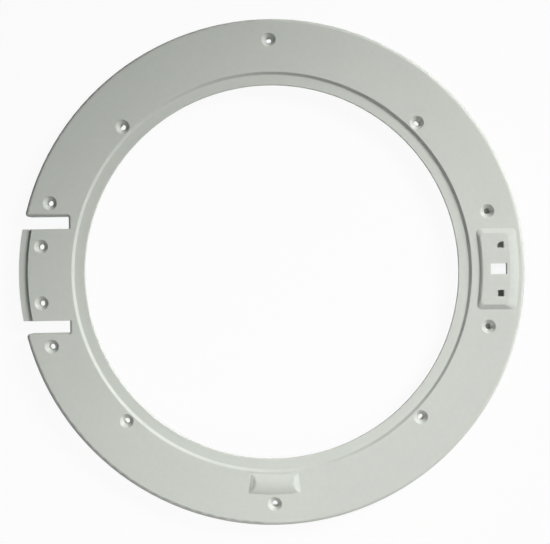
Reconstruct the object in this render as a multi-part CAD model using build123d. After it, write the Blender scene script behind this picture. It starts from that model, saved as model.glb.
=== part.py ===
from build123d import *

import math
import os

# Door trim ring: the inner frame of a front-loading washing machine's round door.
# It is one plastic moulding. The ring lies on its back rim with the screwed face up (+Z),
# the latch side towards +X and the hinge side towards -X. All sizes are millimetres.

# Ring section, from the glass opening outwards
OPENING_DIAMETER = 288.8  # clear opening for the glass bowl
LEDGE_WIDTH = 8.0  # flat ledge that presses on the glass rim
LEDGE_DROP = 2.0  # depth of the ledge below the face
STEP_RUN = 1.8  # radial run of the sloped step between ledge and face
FACE_WIDTH = 41.2  # flat face, from the step to the outer edge
FACE_HEIGHT = 14.0  # height of the face above the back rim
WALL = 2.5  # thickness of the moulded walls
LEDGE_EDGE_ROUND = 0.5
STEP_ROUND = 0.6
OUTER_EDGE_ROUND = 3.0

# Hinge tab between two open slots, with a stepped-down lip at the outer edge
TAB_WIDTH = 70.8
SLOT_WIDTH = 9.8
SLOT_BRIDGE = 2.0  # from the inner edge of the face to the slot's blind end
SLOT_CORNER_ROUND = 1.5
SLOT_EDGE_ROUND = 2.4
LIP_WIDTH = 7.1
LIP_DROP = 2.4
TAB_EDGE_ROUND = 0.6

# Latch pad, with the hook's window and two peg sockets
PAD_LENGTH = 62.6
PAD_INNER_GAP = 6.0  # from the inner edge of the face to the pad's foot
PAD_OUTER_GAP = 4.9  # from the outer edge of the ring to the pad's foot
PAD_RISE = 2.2
PAD_INNER_RUN = 1.8  # radial run of the slope towards the glass
PAD_OUTER_RUN = 7.0  # radial run of the slope towards the outer edge
PAD_END_RUN = 3.8  # run of the slopes at both ends
PAD_CORNER_ROUND = 4.0
PAD_EDGE_ROUND = 1.5
WINDOW_GAP = 20.8  # from the outer edge of the ring to the window's middle
WINDOW_WIDTH = 12.5
WINDOW_HEIGHT = 8.3
WINDOW_COLLAR_WALL = 2.0
WINDOW_COLLAR_DEPTH = 2.5  # how far the collar reaches behind the pad's plate
SOCKET_SIZE = 4.8
SOCKET_SPACING = 37.4
SOCKET_OFFSET = 1.4  # outwards from the window's middle
SOCKET_DEPTH = 8.0
SOCKET_WALL = 1.8
SOCKET_VENT_LENGTH = 4.4  # three-cornered opening in the upper socket's floor
SOCKET_VENT_WIDTH = 2.6

# Guide bump at the bottom of the door
BUMP_LENGTH = 37.2  # between the feet of its two end slopes
BUMP_WIDTH = 15.4
BUMP_GAP = 1.9  # from the inner edge of the face to the bump's foot
BUMP_RISE = 2.0
BUMP_END_RUN = 3.2  # run of an end slope, without its roundings
BUMP_END_ROUND = 6.0  # at the foot and at the crest of an end slope
BUMP_OVERLAP = 0.05  # by which the end slopes pass the face and the crest
BUMP_HOLLOW_INSET = 3.8  # from the bump's long sides to the hollow behind it

# Countersunk screws and the bosses behind them
SCREW_HOLE_DIAMETER = 4.3
SCREW_SINK_DIAMETER = 10.8
SCREW_SINK_ANGLE = 90.0
BOSS_DIAMETER = 13.0
BOSS_DEPTH = 5.0  # how far a boss reaches behind the face's plate
BOSS_FLOOR = 1.5  # closes the latch screws' bosses at the back
INNER_SCREW_GAP = 6.1  # from the inner edge of the face to the diagonal screws
OUTER_SCREW_GAP = 16.5  # from the outer edge to the top, bottom and hinge screws
HINGE_SCREW_SPACING = 43.6  # between the two screws in the hinge tab
HINGE_SCREW_OFFSET = 10.1  # from a slot's far wall to the screw beyond it
LATCH_SCREW_GAP = 22.9  # from the outer edge to the latch screws
LATCH_SCREW_OFFSET = 13.3  # from the pad's end to the screw beyond it

# Stiffening ribs behind the face
RIB_COUNT = 24
RIB_THICKNESS = 1.8
RIB_DEPTH = 7.0

# Radii and heights that follow from the sizes above
opening_r = OPENING_DIAMETER / 2
step_foot_r = opening_r + LEDGE_WIDTH
face_inner_r = step_foot_r + STEP_RUN
outer_r = face_inner_r + FACE_WIDTH
skirt_inner_r = outer_r - WALL
seat_wall_r = step_foot_r + WALL
ledge_top = FACE_HEIGHT - LEDGE_DROP
ledge_back = ledge_top - WALL
face_back = FACE_HEIGHT - WALL
slot_near_y = TAB_WIDTH / 2
slot_far_y = slot_near_y + SLOT_WIDTH
slot_end_x = -(face_inner_r + SLOT_BRIDGE)
lip_inner_r = outer_r - LIP_WIDTH
lip_top = FACE_HEIGHT - LIP_DROP
pad_inner_r = face_inner_r + PAD_INNER_GAP
pad_outer_r = outer_r - PAD_OUTER_GAP
pad_top = FACE_HEIGHT + PAD_RISE
window_x = outer_r - WINDOW_GAP
bump_inner_r = face_inner_r + BUMP_GAP
bump_outer_r = bump_inner_r + BUMP_WIDTH
bump_middle_r = (bump_inner_r + bump_outer_r) / 2
above = FACE_HEIGHT + PAD_RISE + BUMP_RISE  # a height clear of everything on the face


def slab(x_from, x_to, y_from, y_to, z_from, z_to):
    """A block between two corners."""
    block = Box(x_to - x_from, y_to - y_from, z_to - z_from)
    return Pos((x_from + x_to) / 2, (y_from + y_to) / 2, (z_from + z_to) / 2) * block


def near(shapes, *point):
    """The edge or vertex closest to a point."""
    return shapes.sort_by_distance(point)[0]


def ring_shell():
    """The plain ring: ledge, sloped step, face, outer skirt and glass seat wall."""
    outline = Polyline(
        (opening_r, ledge_back),
        (opening_r, ledge_top),
        (step_foot_r, ledge_top),
        (face_inner_r, FACE_HEIGHT),
        (outer_r, FACE_HEIGHT),
        (outer_r, 0),
        (skirt_inner_r, 0),
        (skirt_inner_r, face_back),
        (seat_wall_r, face_back),
        (seat_wall_r, 0),
        (step_foot_r, 0),
        (step_foot_r, ledge_back),
        close=True,
    )
    section = make_face(outline)
    roundings = [
        (opening_r, ledge_top, LEDGE_EDGE_ROUND),
        (step_foot_r, ledge_top, STEP_ROUND),
        (face_inner_r, FACE_HEIGHT, STEP_ROUND),
        (outer_r, FACE_HEIGHT, OUTER_EDGE_ROUND),
    ]
    for r, z, radius in roundings:
        section = fillet(near(section.vertices(), r, z, 0), radius)
    return revolve(Plane.XZ * section, Axis.Z)


def pad_outline(inner_run=0.0, outer_run=0.0, end_run=0.0):
    """The latch pad seen from above, drawn in from its foot by a run on each side."""
    band = Circle(pad_outer_r - outer_run) - Circle(pad_inner_r + inner_run)
    half = Pos(outer_r / 2, 0) * Rectangle(outer_r, PAD_LENGTH - 2 * end_run)
    outline = band & half
    return fillet(outline.vertices(), PAD_CORNER_ROUND)


def latch_pad(crest):
    """The solid latch pad, from its foot on the face up to its smaller crest with a rounded edge."""
    sections = [Pos(0, 0, FACE_HEIGHT) * pad_outline(), Pos(0, 0, pad_top) * crest]
    pad = loft(sections, ruled=True)
    return fillet(pad.edges().group_by(Axis.Z)[-1], PAD_EDGE_ROUND)


def bump_arch():
    """The guide bump's round back, which follows the ring past both ends of the bump."""
    half_angle = math.degrees((BUMP_LENGTH / 2 + BUMP_END_RUN) / bump_middle_r)
    feet = (bump_inner_r, FACE_HEIGHT), (bump_outer_r, FACE_HEIGHT)
    back = ThreePointArc(feet[0], (bump_middle_r, FACE_HEIGHT + BUMP_RISE), feet[1])
    section = make_face([back, Line(*feet)])
    arch = revolve(Plane.XZ * section, Axis.Z, 2 * half_angle)
    return Rot(0, 0, -90 - half_angle) * arch


def bump_ends(radius):
    """Side view of the bump's soft end slopes, at a distance from the ring's middle."""
    foot = BUMP_LENGTH / 2 * radius / bump_middle_r
    crest = foot - BUMP_END_RUN
    far = foot + 2 * BUMP_END_RUN
    base = FACE_HEIGHT - WALL
    low = FACE_HEIGHT - BUMP_OVERLAP
    high = FACE_HEIGHT + BUMP_RISE + BUMP_OVERLAP
    half = [(crest, high), (foot, low), (far, low), (far, base)]
    other_half = [(-x, z) for x, z in reversed(half)]
    profile = make_face(Polyline(*half, *other_half, close=True))
    for x, z in half[:2] + other_half[2:]:
        profile = fillet(near(profile.vertices(), x, z, 0), BUMP_END_ROUND)
    return Plane.XZ.offset(radius) * profile


def guide_bump():
    """The solid guide bump: its round back between its end slopes, which point to the ring's middle."""
    clear = BUMP_GAP / 2
    ends = [bump_ends(bump_inner_r - clear), bump_ends(bump_outer_r + clear)]
    return bump_arch() & loft(ends, ruled=True)


def hollows(pad_crest):
    """The hollows behind latch pad and bump, which keep them near one wall thickness."""
    band = Circle(bump_outer_r - BUMP_HOLLOW_INSET) - Circle(bump_inner_r + BUMP_HOLLOW_INSET)
    length = BUMP_LENGTH - 4 * BUMP_END_RUN
    bump_core = band & Pos(0, -bump_middle_r) * Rectangle(length, BUMP_WIDTH)
    cores = (pad_crest, PAD_RISE), (bump_core, BUMP_RISE)
    return [extrude(Pos(0, 0, face_back) * outline, rise) for outline, rise in cores]


def through_screws():
    """Centres of the screws whose holes go right through."""
    inner_r = face_inner_r + INNER_SCREW_GAP
    edge_r = outer_r - OUTER_SCREW_GAP
    places = [(inner_r * math.cos(a), inner_r * math.sin(a)) for a in diagonals()]
    places += [(0, edge_r), (0, -edge_r)]
    for y in (HINGE_SCREW_SPACING / 2, slot_far_y + HINGE_SCREW_OFFSET):
        x = -math.sqrt(edge_r**2 - y**2)
        places += [(x, y), (x, -y)]
    return places


def latch_screws():
    """Centres of the two screws beyond the ends of the latch pad."""
    latch_r = outer_r - LATCH_SCREW_GAP
    y = PAD_LENGTH / 2 + LATCH_SCREW_OFFSET
    x = math.sqrt(latch_r**2 - y**2)
    return [(x, y), (x, -y)]


def diagonals():
    """Angles of the four screws beside the glass, in radians."""
    return [math.radians(45 + 90 * quarter) for quarter in range(4)]


def screw_bosses():
    """Round bosses behind the screw holes."""
    height = BOSS_DEPTH + WALL / 2
    boss = Cylinder(BOSS_DIAMETER / 2, height, align=(Align.CENTER, Align.CENTER, Align.MIN))
    places = through_screws() + latch_screws()
    return [Pos(x, y, face_back - BOSS_DEPTH) * boss for x, y in places]


def screw_holes():
    """Countersunk holes: through face and bosses, and blind beside the latch."""
    radii = SCREW_HOLE_DIAMETER / 2, SCREW_SINK_DIAMETER / 2
    blind_depth = WALL + BOSS_DEPTH - BOSS_FLOOR
    holes = []
    for places, depth in ((through_screws(), FACE_HEIGHT), (latch_screws(), blind_depth)):
        hole = CounterSinkHole(*radii, depth, SCREW_SINK_ANGLE)
        holes += [Pos(x, y, FACE_HEIGHT) * hole for x, y in places]
    return holes


def ribs():
    """Radial ribs between the seat wall and the skirt, left out at hinge and latch."""
    from_r = seat_wall_r - WALL / 2
    to_r = skirt_inner_r + WALL / 2
    low, high = face_back - RIB_DEPTH, face_back + WALL / 2
    rib = slab(from_r, to_r, -RIB_THICKNESS / 2, RIB_THICKNESS / 2, low, high)
    placed = []
    for number in range(RIB_COUNT):
        angle = 360 * number / RIB_COUNT
        reach_x = seat_wall_r * math.cos(math.radians(angle))
        reach_y = abs(seat_wall_r * math.sin(math.radians(angle)))
        clear_of = slot_far_y + WALL if reach_x < 0 else PAD_LENGTH / 2
        if reach_y > clear_of:
            placed.append(Rot(0, 0, angle) * rib)
    return placed


def slot_walls():
    """Walls round the hinge slots, from the face down to the back rim."""
    disc = Pos(0, 0, face_back / 2) * Cylinder(skirt_inner_r + WALL / 2, face_back)
    walls = []
    for near_y, far_y in ((slot_near_y, slot_far_y), (-slot_far_y, -slot_near_y)):
        block = slab(-outer_r, slot_end_x + WALL, near_y - WALL, far_y + WALL, 0, face_back)
        walls.append(block & disc)
    return walls


def slots():
    """The two slots, open at the outer edge."""
    past = -(outer_r + SLOT_WIDTH)
    upper = slab(past, slot_end_x, slot_near_y, slot_far_y, -WALL, above)
    return [upper, mirror(upper, Plane.XZ)]


def tab_zone(r_from, r_to, z_from, z_to):
    """A piece of ring as wide as the hinge tab."""
    height = z_to - z_from
    band = Cylinder(r_to, height) - Cylinder(r_from, height)
    tab = slab(-r_to, 0, -slot_near_y, slot_near_y, z_from, z_to)
    return (Pos(0, 0, (z_from + z_to) / 2) * band) & tab


def collars():
    """Collar behind the latch window and boxes round the peg sockets."""
    x_reach = WINDOW_WIDTH / 2 + WINDOW_COLLAR_WALL
    y_reach = WINDOW_HEIGHT / 2 + WINDOW_COLLAR_WALL
    plate_back = pad_top - WALL
    top = plate_back + WALL / 2
    low = plate_back - WINDOW_COLLAR_DEPTH
    boxes = [slab(window_x - x_reach, window_x + x_reach, -y_reach, y_reach, low, top)]
    reach = SOCKET_SIZE / 2 + SOCKET_WALL
    low = pad_top - SOCKET_DEPTH - SOCKET_WALL
    for x, y in socket_places():
        boxes.append(slab(x - reach, x + reach, y - reach, y + reach, low, top))
    return boxes


def socket_places():
    """Centres of the two peg sockets, the upper one first."""
    return [(window_x + SOCKET_OFFSET, side * SOCKET_SPACING / 2) for side in (1, -1)]


def latch_openings():
    """Through window for the latch hook, and the peg sockets."""
    half_x, half_y = WINDOW_WIDTH / 2, WINDOW_HEIGHT / 2
    cuts = [slab(window_x - half_x, window_x + half_x, -half_y, half_y, -WALL, above)]
    half = SOCKET_SIZE / 2
    low = pad_top - SOCKET_DEPTH
    for x, y in socket_places():
        cuts.append(slab(x - half, x + half, y - half, y + half, low, above))
    return cuts + [socket_vent()]


def socket_vent():
    """Three-cornered opening through the floor of the upper socket, in its inner corner."""
    middle_x, middle_y = socket_places()[0]
    x = middle_x - SOCKET_SIZE / 2
    y = middle_y + SOCKET_SIZE / 2
    ends = (x + SOCKET_VENT_LENGTH, y), (x, y - SOCKET_VENT_WIDTH)
    return extrude(make_face(Polyline((x, y), *ends, close=True)), above)


def round_slot_edges(ring):
    """Rounds the ring-side edges of the hinge slots, and the edge of the tab's outer wall."""
    mouth_x = -math.sqrt(outer_r**2 - slot_far_y**2)
    for side in (1, -1):
        far_y = side * slot_far_y
        corner = near(ring.edges().filter_by(Axis.Z), slot_end_x, far_y, FACE_HEIGHT / 2)
        ring = fillet(corner, SLOT_CORNER_ROUND)
        wall_edge = near(ring.edges(), (slot_end_x + mouth_x) / 2, far_y, FACE_HEIGHT)
        ring = fillet(wall_edge, SLOT_EDGE_ROUND)
    return fillet(near(ring.edges(), -lip_inner_r, 0, FACE_HEIGHT), TAB_EDGE_ROUND)


def trim_ring():
    """The whole moulding."""
    pad_crest = pad_outline(PAD_INNER_RUN, PAD_OUTER_RUN, PAD_END_RUN)
    ring = ring_shell() + [latch_pad(pad_crest), guide_bump()]
    ring -= hollows(pad_crest)
    ring += [tab_zone(lip_inner_r - WALL, skirt_inner_r, lip_top - WALL, face_back)]
    ring += slot_walls() + screw_bosses() + ribs() + collars()
    ring -= [tab_zone(lip_inner_r, outer_r + LIP_WIDTH, lip_top, above)]
    ring -= slots() + latch_openings() + screw_holes()
    return round_slot_edges(ring)


os.makedirs("parts", exist_ok=True)
export_step(trim_ring(), "parts/trim_ring.step")
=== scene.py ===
"""The finished look of a door trim ring: its moulded surface, floor, light and camera."""

import logging
import math
from dataclasses import dataclass
from enum import Enum

import bpy
from mathutils import Matrix, Vector


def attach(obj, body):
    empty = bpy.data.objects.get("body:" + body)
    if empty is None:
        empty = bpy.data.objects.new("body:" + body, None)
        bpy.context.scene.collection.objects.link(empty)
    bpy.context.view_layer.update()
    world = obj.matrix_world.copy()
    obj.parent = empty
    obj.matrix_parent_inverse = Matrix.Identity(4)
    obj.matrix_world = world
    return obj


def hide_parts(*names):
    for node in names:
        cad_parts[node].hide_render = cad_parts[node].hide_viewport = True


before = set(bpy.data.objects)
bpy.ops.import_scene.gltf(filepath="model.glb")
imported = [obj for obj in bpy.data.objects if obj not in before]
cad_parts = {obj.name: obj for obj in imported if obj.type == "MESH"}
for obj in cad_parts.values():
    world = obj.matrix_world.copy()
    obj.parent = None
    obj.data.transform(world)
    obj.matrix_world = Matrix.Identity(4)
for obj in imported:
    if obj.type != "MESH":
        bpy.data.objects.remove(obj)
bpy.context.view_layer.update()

LOG = logging.getLogger("trim_ring")
BODY = "root"
NODE = "trim_ring"

Colour = tuple[float, float, float]
Place = tuple[float, float, float]
Span = tuple[float, float]
Socket = bpy.types.NodeSocket

FLOAT = "NodeSocketFloat"
COLOUR = "NodeSocketColor"
VECTOR = "NodeSocketVector"
SOLID = "NodeSocketGeometry"
WHOLE = "NodeSocketInt"
FINISH = "NodeSocketMaterial"

WHITE = (1.0, 1.0, 1.0, 1.0)
FULL_WHITE = 1.0
UP = (0.0, 0.0, 1.0)


def mm(length: float) -> float:
    """Millimetres as metres."""
    return length / 1000.0


class NodeBoard:
    """Short calls that place and wire the nodes of one tree."""

    def __init__(self, tree: bpy.types.NodeTree) -> None:
        """Take a tree and clear it."""
        self.tree = tree
        tree.nodes.clear()

    def add(
        self, kind: str, values: dict[str, object] | None = None, **settings: object
    ) -> bpy.types.Node:
        """Place a node.

        Args:
            kind: Blender's type name of the node.
            values: what goes into its sockets by name: a constant, or a socket to wire up.
            settings: the node's own properties.

        Returns:
            The node.
        """
        node = self.tree.nodes.new(kind)
        for name, setting in settings.items():
            setattr(node, name, setting)
        for name, value in (values or {}).items():
            self.feed(node.inputs[name], value)
        return node

    def feed(self, socket: Socket, value: object) -> None:
        """Give a socket a constant, or wire another socket to it.

        Args:
            socket: the socket to fill.
            value: the constant, or the socket to wire up.
        """
        if isinstance(value, bpy.types.NodeSocket):
            self.tree.links.new(value, socket)
        else:
            socket.default_value = value

    def math(self, operation: str, *terms: float | Socket) -> Socket:
        """Place a math node.

        Args:
            operation: Blender's name of the operation.
            terms: its numbers, or the sockets that give them.

        Returns:
            The socket with the result.
        """
        node = self.add("ShaderNodeMath", operation=operation)
        for socket, term in zip(node.inputs, terms):
            self.feed(socket, term)
        return node.outputs["Value"]

    def scale(self, vector: Socket, factor: Socket) -> Socket:
        """Multiply a vector or a colour by a number.

        Args:
            vector: the socket with the vector or colour.
            factor: the socket with the number.

        Returns:
            The socket with the result.
        """
        values = {"Vector": vector, "Scale": factor}
        return self.add("ShaderNodeVectorMath", values, operation="SCALE").outputs["Vector"]

    def mask(self, value: Socket, span: Span) -> Socket:
        """Turn a value into a mask from 0 to 1.

        Args:
            value: the socket to map.
            span: the values that become 0 and 1, with those beyond them clamped.

        Returns:
            The socket with the mask.
        """
        values = {"Value": value, "From Min": span[0], "From Max": span[1]}
        return self.add("ShaderNodeMapRange", values).outputs["Result"]


class GroupBoard(NodeBoard):
    """A node group with named inputs and outputs."""

    def __init__(self, name: str, kind: str, inputs: dict[str, str], outputs: dict[str, str]) -> None:
        """Make the group.

        Args:
            name: the group's name.
            kind: Blender's type name of the tree.
            inputs: socket type of each input, by name.
            outputs: socket type of each output, by name.
        """
        super().__init__(bpy.data.node_groups.new(name, kind))
        for sockets, side in ((inputs, "INPUT"), (outputs, "OUTPUT")):
            for socket, socket_type in sockets.items():
                self.tree.interface.new_socket(name=socket, in_out=side, socket_type=socket_type)
        self.given = self.add("NodeGroupInput").outputs
        self.result = self.add("NodeGroupOutput").inputs


class SurfaceEffects:
    """Shader groups that all the finishes share, each built once."""

    NOISE_MIDDLE: float = 0.5
    NOISE_ROUGHNESS: float = 0.5
    PIT_DETAIL: float = 2.0
    PIT_ROUGHNESS: float = 0.6
    PIT_SHARE: float = 0.4
    PATCH_DETAIL: float = 3.0
    PATCH_DENSITY: float = 0.05
    PATCH_SHARE: float = 0.6
    CLOUD_DETAIL: float = 3.0
    SPECK_DETAIL: float = 1.0
    EDGE_SPAN: Span = (0.95, 0.45)
    CORNER_SPAN: Span = (0.9, 0.3)
    RAY_SAMPLES: int = 6

    def __init__(self) -> None:
        """Build the groups."""
        self.grain = self.satin_grain()
        self.mottle = self.pigment_mottle()
        self.edges = self.edge_wear_and_corner_shade()

    @staticmethod
    def noise(
        board: GroupBoard, density: Socket, detail: float, roughness: float = NOISE_ROUGHNESS
    ) -> Socket:
        """Place a noise texture on the piece's own coordinates.

        Args:
            board: the group to build in.
            density: the socket with its spots per metre.
            detail: how many finer layers lie on it.
            roughness: how strong the finer layers are.

        Returns:
            The socket with its value, from 0 to 1.
        """
        place = board.add("ShaderNodeTexCoord").outputs["Object"]
        values = {"Vector": place, "Scale": density, "Detail": detail, "Roughness": roughness}
        return board.add("ShaderNodeTexNoise", values).outputs[0]

    def swing(self, board: GroupBoard, noise: Socket, depth: Socket) -> Socket:
        """Turn a noise value into a shift about zero.

        Args:
            board: the group to build in.
            noise: the socket with the noise.
            depth: the socket with the shift's full width.

        Returns:
            The socket with the shift.
        """
        return board.math("MULTIPLY", board.math("SUBTRACT", noise, self.NOISE_MIDDLE), depth)

    def satin_grain(self) -> bpy.types.NodeTree:
        """Fine even grain left by an eroded tool face.

        Returns:
            A group that gives the grain's height and a roughness shift about zero.
        """
        inputs = {"Pitch": FLOAT, "Contrast": FLOAT}
        outputs = {"Height": FLOAT, "Gloss": FLOAT}
        board = GroupBoard("satin_grain", "ShaderNodeTree", inputs, outputs)
        density = board.math("DIVIDE", 1.0, board.given["Pitch"])
        pits = self.noise(board, density, self.PIT_DETAIL, self.PIT_ROUGHNESS)
        patch_density = board.math("MULTIPLY", density, self.PATCH_DENSITY)
        patches = self.noise(board, patch_density, self.PATCH_DETAIL)
        fine = board.math("MULTIPLY", pits, self.PIT_SHARE)
        broad = board.math("MULTIPLY", patches, self.PATCH_SHARE)
        shift = self.swing(board, board.math("ADD", fine, broad), board.given["Contrast"])
        board.feed(board.result["Height"], pits)
        board.feed(board.result["Gloss"], shift)
        return board.tree

    def pigment_mottle(self) -> bpy.types.NodeTree:
        """Slight unevenness of the pigment, in soft clouds and in fine specks.

        Returns:
            A group that gives the colour with its clouds and specks.
        """
        inputs = {"Colour": COLOUR, "Cloud Pitch": FLOAT, "Speck Pitch": FLOAT, "Depth": FLOAT}
        board = GroupBoard("pigment_mottle", "ShaderNodeTree", inputs, {"Colour": COLOUR})
        level: Socket | float = 1.0
        for pitch, detail in (("Cloud Pitch", self.CLOUD_DETAIL), ("Speck Pitch", self.SPECK_DETAIL)):
            density = board.math("DIVIDE", 1.0, board.given[pitch])
            spots = self.noise(board, density, detail)
            level = board.math("ADD", level, self.swing(board, spots, board.given["Depth"]))
        board.feed(board.result["Colour"], board.scale(board.given["Colour"], level))
        return board.tree

    def edge_wear_and_corner_shade(self) -> bpy.types.NodeTree:
        """Outer edges rubbed a little smoother, inner corners darkened as painted shade, and broken
        edges.

        Returns:
            A group that gives a mask of outer edges, a mask of inner corners for painted shade, and a
            rounded normal.
        """
        inputs = {"Edge Reach": FLOAT, "Corner Reach": FLOAT, "Edge Break": FLOAT}
        outputs = {"Edge": FLOAT, "Corner": FLOAT, "Normal": VECTOR}
        board = GroupBoard("edge_wear_and_corner_shade", "ShaderNodeTree", inputs, outputs)
        # The corner mask is ambient occlusion: it paints shade into inner corners.
        masks = (
            ("Edge", "Edge Reach", True, self.EDGE_SPAN),
            ("Corner", "Corner Reach", False, self.CORNER_SPAN),
        )
        for name, reach, inside, span in masks:
            cover = board.add(
                "ShaderNodeAmbientOcclusion",
                {"Distance": board.given[reach]},
                samples=self.RAY_SAMPLES,
                inside=inside,
                only_local=True,
            )
            board.feed(board.result[name], board.mask(cover.outputs["AO"], span))
        radius = {"Radius": board.given["Edge Break"]}
        rounded = board.add("ShaderNodeBevel", radius, samples=self.RAY_SAMPLES)
        board.feed(board.result["Normal"], rounded.outputs["Normal"])
        return board.tree


class Side(Enum):
    """The two sides of a moulding, which come out of the tool with different finishes."""

    FACE = "face"
    BACK = "back"


@dataclass(frozen=True)
class MouldedPlastic:
    """A dyed plastic as one side of the tool leaves it, with its lengths in metres."""

    side: Side
    colour: Colour
    roughness: float
    grain_pitch: float
    grain_depth: float
    gloss_contrast: float
    mottle: float
    rub_lift: float
    # Painted shade: how much the colour darkens in inner corners.
    painted_corner_shade: float
    grain_strength: float = 0.6
    cloud_pitch: float = mm(45)
    speck_pitch: float = mm(3.0)
    edge_reach: float = mm(1.0)
    corner_reach: float = mm(4.0)
    edge_break: float = mm(0.35)
    rub_polish: float = 0.10
    refraction: float = 1.49
    reflectance: float = 0.2

    def material(self, effects: SurfaceEffects) -> bpy.types.Material:
        """Build the finish.

        Args:
            effects: the shared shader groups.

        Returns:
            The material.
        """
        material = bpy.data.materials.new(f"moulded_plastic_{self.side.value}")
        material.use_nodes = True
        board = NodeBoard(material.node_tree)
        grain = board.add(
            "ShaderNodeGroup",
            {"Pitch": self.grain_pitch, "Contrast": self.gloss_contrast},
            node_tree=effects.grain,
        ).outputs
        mottle = board.add(
            "ShaderNodeGroup",
            {
                "Colour": (*self.colour, 1.0),
                "Cloud Pitch": self.cloud_pitch,
                "Speck Pitch": self.speck_pitch,
                "Depth": self.mottle,
            },
            node_tree=effects.mottle,
        ).outputs
        edges = board.add(
            "ShaderNodeGroup",
            {
                "Edge Reach": self.edge_reach,
                "Corner Reach": self.corner_reach,
                "Edge Break": self.edge_break,
            },
            node_tree=effects.edges,
        ).outputs
        lifted = board.math("MULTIPLY_ADD", edges["Edge"], self.rub_lift, 1.0)
        # Painted shade: the colour darkens in inner corners, by the corner mask.
        shaded = board.math("MULTIPLY_ADD", edges["Corner"], -self.painted_corner_shade, lifted)
        rough = board.math("ADD", grain["Gloss"], self.roughness)
        polished = board.math("MULTIPLY_ADD", edges["Edge"], -self.rub_polish, rough)
        bump = board.add(
            "ShaderNodeBump",
            {
                "Strength": self.grain_strength,
                "Distance": self.grain_depth,
                "Height": grain["Height"],
                "Normal": edges["Normal"],
            },
        )
        shader = board.add(
            "ShaderNodeBsdfPrincipled",
            {
                "Base Color": board.scale(mottle["Colour"], shaded),
                "Roughness": polished,
                "IOR": self.refraction,
                "Specular IOR Level": self.reflectance,
                "Normal": bump.outputs["Normal"],
            },
        )
        board.add("ShaderNodeOutputMaterial", {"Surface": shader.outputs["BSDF"]})
        return material


# The attribute that carries a corner's true direction, and the length that tells a noted
# direction, of length 1, from a missing one, of length 0.
NORMAL_NOTE = "true_normal"
NOTED_LENGTH = 0.5


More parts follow.
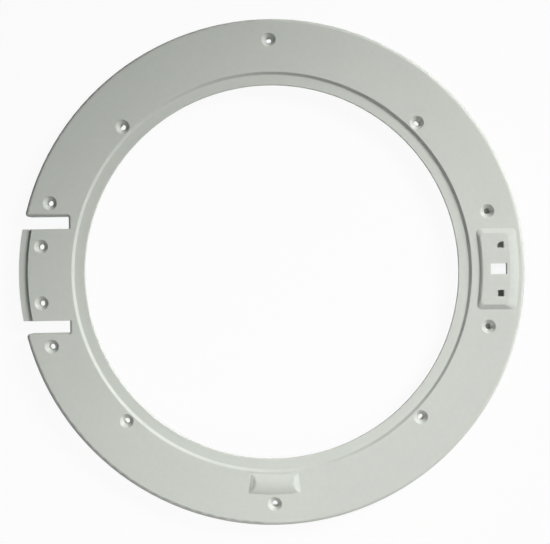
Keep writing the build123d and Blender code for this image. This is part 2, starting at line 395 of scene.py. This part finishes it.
@dataclass
class RingMoulding:
    """The ring itself: one moulding with a grained face and a plainer cored back."""

    # The weld joins only corners that coincide, so that the narrowest faces stay whole.
    weld: float = mm(0.0001)
    plate_back: float = mm(11.5)
    pin_circle: float = mm(173.6)
    pin_count: int = 24
    pin_sides: int = 32
    pin_radius: float = mm(3.0)
    pin_proud: float = mm(0.25)
    pin_root: float = mm(0.6)
    pins_clear_of: float = mm(40)
    # The rays that tell back from face start this far off the surface, and look this far up.
    peel: float = mm(0.05)
    probe: float = mm(40)

    def sizes(self) -> dict[str, float | int]:
        """List the sizes that the node tree takes.

        Returns:
            The sizes, by the names of the tree's inputs.
        """
        return {
            "Weld": self.weld,
            "Plate Back": self.plate_back,
            "Pin Circle": self.pin_circle,
            "Pin Count": self.pin_count,
            "Pin Sides": self.pin_sides,
            "Pin Radius": self.pin_radius,
            "Pin Proud": self.pin_proud,
            "Pin Root": self.pin_root,
            "Pins Clear Of": self.pins_clear_of,
            "Peel": self.peel,
            "Probe": self.probe,
        }

    def skin_tree(self) -> bpy.types.NodeTree:
        """Node tree that welds the shape, adds the ejector pin marks and sets the finishes.

        Returns:
            The geometry node tree.
        """
        sizes = {name: WHOLE if isinstance(size, int) else FLOAT for name, size in self.sizes().items()}
        inputs = {"Shape": SOLID, **sizes, "Face Finish": FINISH, "Back Finish": FINISH}
        board = GroupBoard("moulding_skin", "GeometryNodeTree", inputs, {"Moulding": SOLID})
        given = board.given
        noted = self.note_normals(board, given["Shape"])
        weld = {"Geometry": noted, "Distance": given["Weld"]}
        welded = board.add("GeometryNodeMergeByDistance", weld).outputs["Geometry"]
        joined = board.add("GeometryNodeMeshBoolean", operation="UNION", solver="MANIFOLD")
        for shape in (welded, self.pin_marks(board)):
            board.feed(joined.inputs["Mesh 2"], shape)
        curved = self.restore_normals(board, joined.outputs["Mesh"])
        whole = board.add("GeometryNodeRealizeInstances", {"Geometry": curved}).outputs["Geometry"]
        face = {"Geometry": whole, "Material": given["Face Finish"]}
        faced = board.add("GeometryNodeSetMaterial", face).outputs["Geometry"]
        back = {"Selection": self.covered(board, whole), "Material": given["Back Finish"]}
        backed = board.add("GeometryNodeSetMaterial", {"Geometry": faced, **back})
        board.feed(board.result["Moulding"], backed.outputs["Geometry"])
        return board.tree

    @staticmethod
    def note_normals(board: GroupBoard, shape: Socket) -> Socket:
        """Note the true surface direction at each corner of the faces, before corners are welded.

        Args:
            board: the tree to build in.
            shape: the socket with the solid's own mesh.

        Returns:
            The socket with the noted mesh.
        """
        note = board.add(
            "GeometryNodeStoreNamedAttribute",
            {"Geometry": shape, "Name": NORMAL_NOTE},
            data_type="FLOAT_VECTOR",
            domain="CORNER",
        )
        board.feed(note.inputs["Value"], board.add("GeometryNodeInputNormal").outputs["Normal"])
        return note.outputs["Geometry"]

    @staticmethod
    def restore_normals(board: GroupBoard, shape: Socket) -> Socket:
        """Shade the welded mesh by the noted directions, and new flat faces by their own.

        Args:
            board: the tree to build in.
            shape: the socket with the welded mesh.

        Returns:
            The socket with the shaded mesh.
        """
        name = {"Name": NORMAL_NOTE}
        noted = board.add("GeometryNodeInputNamedAttribute", name, data_type="FLOAT_VECTOR")
        direction = noted.outputs["Attribute"]
        measured = board.add("ShaderNodeVectorMath", {"Vector": direction}, operation="LENGTH")
        known = board.math("GREATER_THAN", measured.outputs["Value"], NOTED_LENGTH)
        own = board.add("GeometryNodeInputNormal").outputs["True Normal"]
        choice = {"Switch": known, "False": own, "True": direction}
        picked = board.add("GeometryNodeSwitch", choice, input_type="VECTOR")
        shaded = board.add("GeometryNodeSetMeshNormal", {"Mesh": shape}, mode="FREE", domain="CORNER")
        board.feed(shaded.inputs["Custom Normal"], picked.outputs["Output"])
        cleared = board.add("GeometryNodeRemoveAttribute", {"Geometry": shaded.outputs["Mesh"], **name})
        return cleared.outputs["Geometry"]

    @staticmethod
    def pin_marks(board: GroupBoard) -> Socket:
        """Round marks of the ejector pins, between the ribs behind the face.

        Args:
            board: the tree to build them in.

        Returns:
            The socket with the realised marks.
        """
        given = board.given
        ring = {"Vertices": given["Pin Count"], "Radius": given["Pin Circle"]}
        circle = board.add("GeometryNodeMeshCircle", ring).outputs["Mesh"]
        half_step = board.math("DIVIDE", math.pi, given["Pin Count"])
        reach = board.math("ADD", given["Pin Proud"], given["Pin Root"])
        top = board.math("ADD", given["Plate Back"], given["Pin Root"])
        middle = board.math("SUBTRACT", top, board.math("DIVIDE", reach, 2.0))
        turn = board.add("ShaderNodeCombineXYZ", {"Z": half_step}).outputs["Vector"]
        lift = board.add("ShaderNodeCombineXYZ", {"Z": middle}).outputs["Vector"]
        move = {"Geometry": circle, "Translation": lift, "Rotation": turn}
        placed = board.add("GeometryNodeTransform", move).outputs["Geometry"]
        position = board.add("GeometryNodeInputPosition").outputs["Position"]
        along = board.add("ShaderNodeSeparateXYZ", {"Vector": position})
        off_middle = board.math("ABSOLUTE", along.outputs["Y"])
        near_hinge_or_latch = board.math("LESS_THAN", off_middle, given["Pins Clear Of"])
        drop = {"Geometry": placed, "Selection": near_hinge_or_latch}
        kept = board.add("GeometryNodeDeleteGeometry", drop, domain="POINT").outputs["Geometry"]
        pin = {"Vertices": given["Pin Sides"], "Radius": given["Pin Radius"], "Depth": reach}
        mark = board.add("GeometryNodeMeshCylinder", pin).outputs["Mesh"]
        marks = board.add("GeometryNodeInstanceOnPoints", {"Points": kept, "Instance": mark})
        real = board.add("GeometryNodeRealizeInstances", {"Geometry": marks.outputs["Instances"]})
        return real.outputs["Geometry"]

    @staticmethod
    def covered(board: GroupBoard, shape: Socket) -> Socket:
        """Faces that have the moulding itself above them, so that they belong to its back.

        Args:
            board: the tree to build in.
            shape: the socket with the whole moulding.

        Returns:
            The socket with the selection.
        """
        normal = board.add("GeometryNodeInputNormal").outputs["Normal"]
        start = board.add("ShaderNodeVectorMath", operation="ADD")
        board.feed(start.inputs[0], board.add("GeometryNodeInputPosition").outputs["Position"])
        board.feed(start.inputs[1], board.scale(normal, board.given["Peel"]))
        ray = board.add(
            "GeometryNodeRaycast",
            {
                "Target Geometry": shape,
                "Source Position": start.outputs["Vector"],
                "Ray Direction": UP,
                "Ray Length": board.given["Probe"],
            },
        )
        return ray.outputs["Is Hit"]

    def build(self, finishes: dict[Side, bpy.types.Material]) -> bpy.types.Object:
        """Build the moulding as one plain mesh.

        Args:
            finishes: the material of each side.

        Returns:
            The finished piece, riding on its body.
        """
        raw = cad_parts[NODE].data.copy()
        raw.materials.clear()
        piece = bpy.data.objects.new("ring_moulding", raw)
        bpy.context.scene.collection.objects.link(piece)
        tree = self.skin_tree()
        materials = {"Face Finish": finishes[Side.FACE], "Back Finish": finishes[Side.BACK]}
        values = {**self.sizes(), **materials}
        skin = piece.modifiers.new("moulding_skin", "NODES")
        skin.node_group = tree
        for socket in tree.interface.items_tree:
            if socket.in_out == "INPUT" and socket.name in values:
                skin[socket.identifier] = values[socket.name]
        evaluated = piece.evaluated_get(bpy.context.evaluated_depsgraph_get())
        mesh = bpy.data.meshes.new_from_object(evaluated)
        piece.modifiers.clear()
        piece.data = mesh
        mesh.name = piece.name
        bpy.data.meshes.remove(raw)
        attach(piece, BODY)
        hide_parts(NODE)
        return piece


@dataclass(frozen=True)
class Stand:
    """Where a lamp stands: degrees round and above the ring's centre, and metres from it."""

    azimuth: float
    elevation: float
    distance: float

    def place(self) -> Vector:
        """Work out the stand's place.

        Returns:
            The place in the ring's own frame.
        """
        turn, rise = math.radians(self.azimuth), math.radians(self.elevation)
        flat = self.distance * math.cos(rise)
        return Vector((flat * math.cos(turn), flat * math.sin(turn), self.distance * math.sin(rise)))


@dataclass(frozen=True)
class Lamp:
    """A soft square lamp beside the ring.

    Its size is in metres, its power in watts and its spread in degrees.
    """

    name: str
    stand: Stand
    size: float
    power: float
    aim: Place = (0.0, 0.0, 0.0)
    spread: float = 180.0
    tint: Colour = (1.0, 1.0, 1.0)

    def hang(self) -> bpy.types.Object:
        """Put the lamp up, facing its aim.

        Returns:
            The lamp.
        """
        light = bpy.data.lights.new(self.name, "AREA")
        light.shape = "SQUARE"
        light.size = self.size
        light.energy = self.power
        light.color = self.tint
        light.spread = math.radians(self.spread)
        lamp = bpy.data.objects.new(self.name, light)
        place = self.stand.place()
        facing = (place - Vector(self.aim)).to_track_quat("Z", "Y").to_matrix().to_4x4()
        lamp.matrix_world = Matrix.Translation(place) @ facing
        lamp.visible_camera = False
        bpy.context.scene.collection.objects.link(lamp)
        return lamp


@dataclass
class Studio:
    """Pale floor and soft light round the ring."""

    lamps: tuple[Lamp, ...]
    ambient: float = 0.04
    floor_width: float = 40.0
    floor_drop: float = mm(0.1)
    floor_colour: Colour = (0.70, 0.70, 0.70)
    floor_glow: float = 0.94

    @staticmethod
    def seen(board: NodeBoard) -> Socket:
        """One for what the camera, a gloss or a clear surface sees, and nought for light on the object.

        Args:
            board: the material's or world's own tree.

        Returns:
            The socket with that number.
        """
        path = board.add("ShaderNodeLightPath").outputs
        total = board.math("ADD", path["Is Camera Ray"], path["Is Glossy Ray"])
        return board.math("MINIMUM", board.math("ADD", total, path["Is Transmission Ray"]), 1.0)

    @staticmethod
    def mixed(board: NodeBoard, share: Socket, first: Socket, second: Socket) -> Socket:
        """Mix two shaders.

        Args:
            board: the material's or world's own tree.
            share: the socket with the second one's share.
            first: the first shader.
            second: the second shader.

        Returns:
            The socket with the mixed shader.
        """
        mix = board.add("ShaderNodeMixShader", {"Fac": share})
        board.feed(mix.inputs[1], first)
        board.feed(mix.inputs[2], second)
        return mix.outputs["Shader"]

    def floor_paint(self) -> bpy.types.Material:
        """Matt paint that takes shadows, under a white glow that is seen but lights nothing.

        Returns:
            The material.
        """
        material = bpy.data.materials.new("studio_floor")
        material.use_nodes = True
        board = NodeBoard(material.node_tree)
        paint = board.add("ShaderNodeBsdfDiffuse", {"Color": (*self.floor_colour, 1.0)})
        glow = board.add("ShaderNodeEmission", {"Color": WHITE, "Strength": FULL_WHITE})
        share = board.math("MULTIPLY", self.seen(board), self.floor_glow)
        surface = self.mixed(board, share, paint.outputs["BSDF"], glow.outputs["Emission"])
        board.add("ShaderNodeOutputMaterial", {"Surface": surface})
        return material

    def floor(self) -> bpy.types.Object:
        """Lay the floor.

        Returns:
            The floor.
        """
        half, drop = self.floor_width / 2, -self.floor_drop
        corners = [(-half, -half, drop), (half, -half, drop), (half, half, drop), (-half, half, drop)]
        mesh = bpy.data.meshes.new("studio_floor")
        mesh.from_pydata(corners, [], [(0, 1, 2, 3)])
        mesh.materials.append(self.floor_paint())
        floor = bpy.data.objects.new("studio_floor", mesh)
        bpy.context.scene.collection.objects.link(floor)
        return floor

    def world(self) -> None:
        """Set the even light from all round, with white behind the object."""
        world = bpy.data.worlds.new("studio")
        world.use_nodes = True
        board = NodeBoard(world.node_tree)
        light = board.add("ShaderNodeBackground", {"Color": WHITE, "Strength": self.ambient})
        white = board.add("ShaderNodeBackground", {"Color": WHITE, "Strength": FULL_WHITE})
        backgrounds = (light.outputs["Background"], white.outputs["Background"])
        surface = self.mixed(board, self.seen(board), *backgrounds)
        board.add("ShaderNodeOutputWorld", {"Surface": surface})
        bpy.context.scene.world = world

    def set_up(self) -> None:
        """Lay the floor, light the studio and hang the lamps."""
        self.floor()
        self.world()
        for lamp in self.lamps:
            lamp.hang()
            LOG.info("lamp %s", lamp.name)


@dataclass(frozen=True)
class PhotoCamera:
    """A camera that looks straight down on the ring's face, as the photograph does.

    Its roll is in degrees and its sensor in millimetres, as Blender gives them.
    """

    foot: tuple[float, float] = (mm(2.5), mm(-0.1))
    face_height: float = mm(14)
    reach: float = mm(875)
    frame_width: float = mm(423.6)
    roll: float = -0.8
    sensor: float = 36.0

    def place(self) -> bpy.types.Object:
        """Put the camera up and make it the scene's own.

        Returns:
            The camera.
        """
        data = bpy.data.cameras.new("photo_camera")
        data.sensor_fit = "HORIZONTAL"
        data.sensor_width = self.sensor
        data.lens = self.reach * self.sensor / self.frame_width
        camera = bpy.data.objects.new("photo_camera", data)
        place = Vector((*self.foot, self.face_height + self.reach))
        turn = Matrix.Rotation(math.radians(self.roll), 4, "Z")
        camera.matrix_world = Matrix.Translation(place) @ turn
        bpy.context.scene.collection.objects.link(camera)
        bpy.context.scene.camera = camera
        return camera


LIGHT_GREY: Colour = (0.60, 0.625, 0.585)
SATIN_FACE = MouldedPlastic(
    side=Side.FACE,
    colour=LIGHT_GREY,
    roughness=0.50,
    grain_pitch=mm(0.45),
    grain_depth=mm(0.02),
    gloss_contrast=0.16,
    mottle=0.05,
    rub_lift=0.03,
    painted_corner_shade=0.06,
)
PLAIN_BACK = MouldedPlastic(
    side=Side.BACK,
    colour=LIGHT_GREY,
    roughness=0.55,
    grain_pitch=mm(1.2),
    grain_depth=mm(0.03),
    gloss_contrast=0.24,
    mottle=0.08,
    rub_lift=0.02,
    painted_corner_shade=0.10,
)

# The key lamps stand at the upper right, and each lights its own stretch of the ring.
KEY_STAND = Stand(azimuth=32, elevation=38, distance=1.2)
LOW_STAND = Stand(azimuth=40, elevation=30, distance=1.2)
FILL_STAND = Stand(azimuth=270, elevation=40, distance=0.7)
KEY_SIZE = 0.6
FILL_SIZE = 0.4
COOL_GREEN: Colour = (0.94, 1.0, 0.95)
FAINT_ROSE: Colour = (1.05, 0.99, 1.0)
LEFT_AIM: Place = (mm(-200), mm(-200), 0.0)
BOTTOM_AIM: Place = (mm(-50), mm(-200), 0.0)
LATCH_AIM: Place = (mm(190), mm(20), 0.0)
RIGHT_AIM: Place = (mm(120), mm(-140), 0.0)
LAMPS = (
    Lamp("key_left", KEY_STAND, KEY_SIZE, power=0.87, aim=LEFT_AIM, spread=45, tint=COOL_GREEN),
    Lamp("key_bottom", KEY_STAND, KEY_SIZE, power=0.63, aim=BOTTOM_AIM, spread=46, tint=FAINT_ROSE),
    Lamp("key_latch", KEY_STAND, KEY_SIZE, power=0.36, aim=LATCH_AIM, spread=48),
    Lamp("key_right", LOW_STAND, KEY_SIZE, power=0.34, aim=RIGHT_AIM, spread=60),
    Lamp("fill", FILL_STAND, FILL_SIZE, power=1.36),
)


def main() -> None:
    """Build the ring and its studio, and report each piece."""
    logging.basicConfig(level=logging.INFO, format="%(name)s: %(message)s")
    bpy.context.scene.view_settings.view_transform = "Standard"
    effects = SurfaceEffects()
    finishes = {plastic.side: plastic.material(effects) for plastic in (SATIN_FACE, PLAIN_BACK)}
    moulding = RingMoulding().build(finishes)
    LOG.info("piece %s: %d faces", moulding.name, len(moulding.data.polygons))
    Studio(lamps=LAMPS).set_up()
    PhotoCamera().place()


if __name__ == "__main__":
    main()
